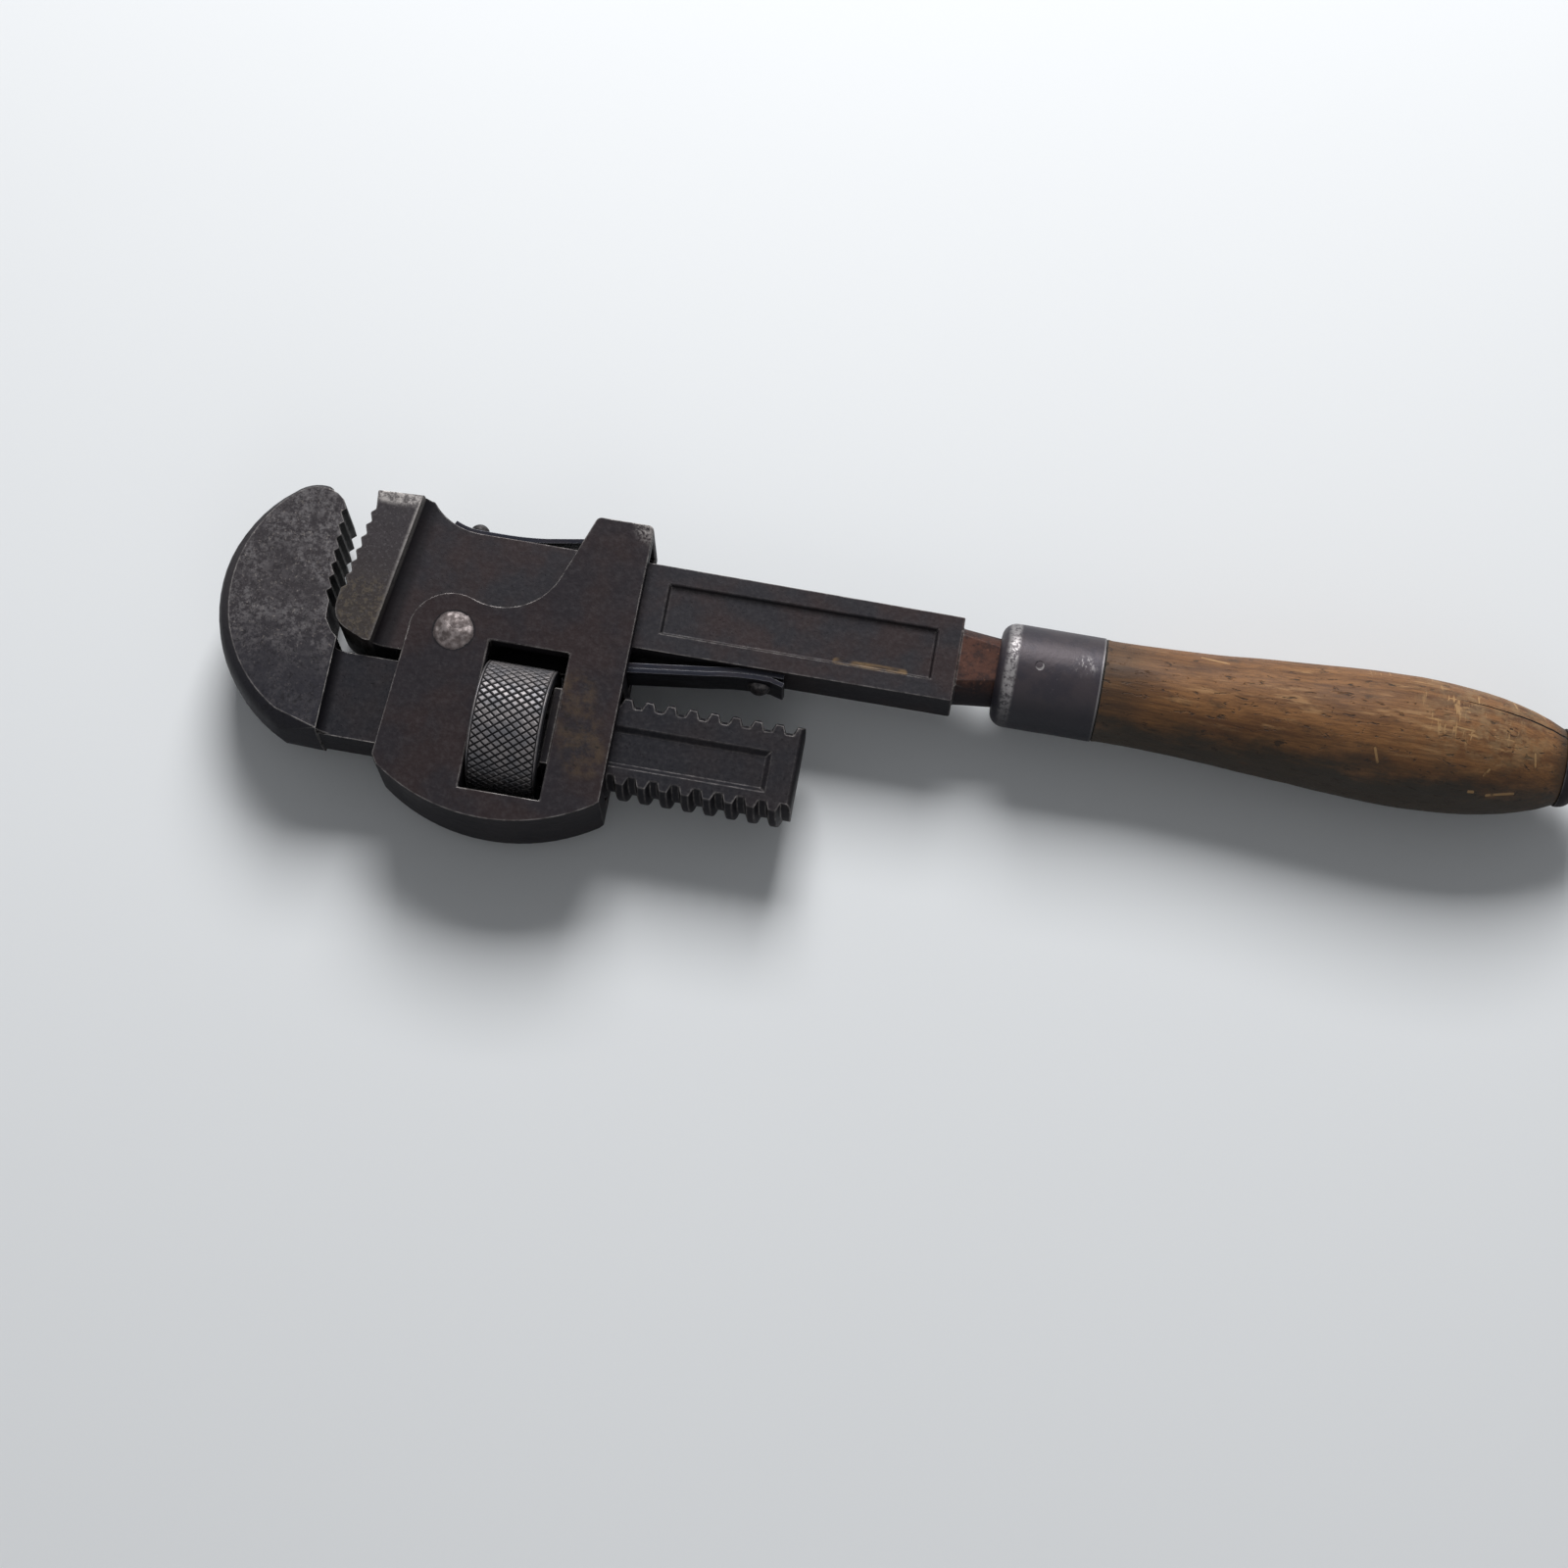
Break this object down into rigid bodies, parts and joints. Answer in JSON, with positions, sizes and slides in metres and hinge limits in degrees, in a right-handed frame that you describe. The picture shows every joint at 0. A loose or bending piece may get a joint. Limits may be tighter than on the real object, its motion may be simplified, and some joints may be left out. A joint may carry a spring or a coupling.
{
  "type": "pipe wrench",
  "caption": "Adjustable pipe wrench: forged bar with toothed heel jaw, threaded hook jaw, pivoting frame with knurled nut, leaf springs and a turned wooden handle.",
  "frame": {"origin": "centre of the wrench's box on the surface that it lies on", "axes": "+X along the bar towards the handle's end, +Y towards the bar's back and the tips of the jaws, +Z out of the upper cheek of the frame"},
  "size_m": [0.2566, 0.0612, 0.0248],
  "materials": {
    "bar_steel": "dark oxidised forged steel with worn bright edges",
    "jaw_steel": "grey pitted forged steel",
    "frame_steel": "dark brown oxidised steel with worn edges",
    "nut_steel": "diamond knurled steel, bright on the crests",
    "rivet_steel": "hammered rivet head, worn bright",
    "spring_steel": "dark blued spring steel",
    "ferrule_steel": "blackened steel tube with a worn front rim",
    "handle_wood": "old oiled hardwood, worn and scratched",
    "cap_steel": "dark oxidised steel"
  },
  "bodies": {
    "handle": {"bar": "bar_steel", "top_spring": "spring_steel", "top_spring_rivet": "rivet_steel", "lower_spring_upper_leaf": "spring_steel", "lower_spring_lower_leaf": "spring_steel", "lower_spring_rivet": "rivet_steel", "ferrule": "ferrule_steel", "wooden_handle": "handle_wood", "end_cap": "cap_steel", "tang_nut": "cap_steel"},
    "frame": {"frame": "frame_steel", "frame_pin": "rivet_steel"},
    "nut": {"adjusting_nut": "nut_steel"},
    "hook": {"hook_jaw": "jaw_steel"}
  },
  "joints": [
    {"name": "frame_rock", "type": "hinge", "parent": "handle", "child": "frame", "pos_m": [-0.0829, 0.00385, 0.0124], "axis": [0, 0, 1], "range_deg": [-2.5, 2.5], "stiffness_Nm_per_rad": 8, "deforming": ["top_spring", "lower_spring_upper_leaf", "lower_spring_lower_leaf"]},
    {"name": "nut_spin", "type": "hinge", "parent": "frame", "child": "nut", "pos_m": [-0.06925, -0.01095, 0.0124], "axis": [1, 0, 0], "range_deg": [-54, 2930]},
    {"name": "jaw_slide", "type": "slide", "parent": "frame", "child": "hook", "axis": [-1, 0, 0], "range_m": [-0.0006, 0.033]}
  ],
  "couplings": [
    {"joint": "nut_spin", "follows": "jaw_slide", "rad_per_m": 1547.6}
  ]
}
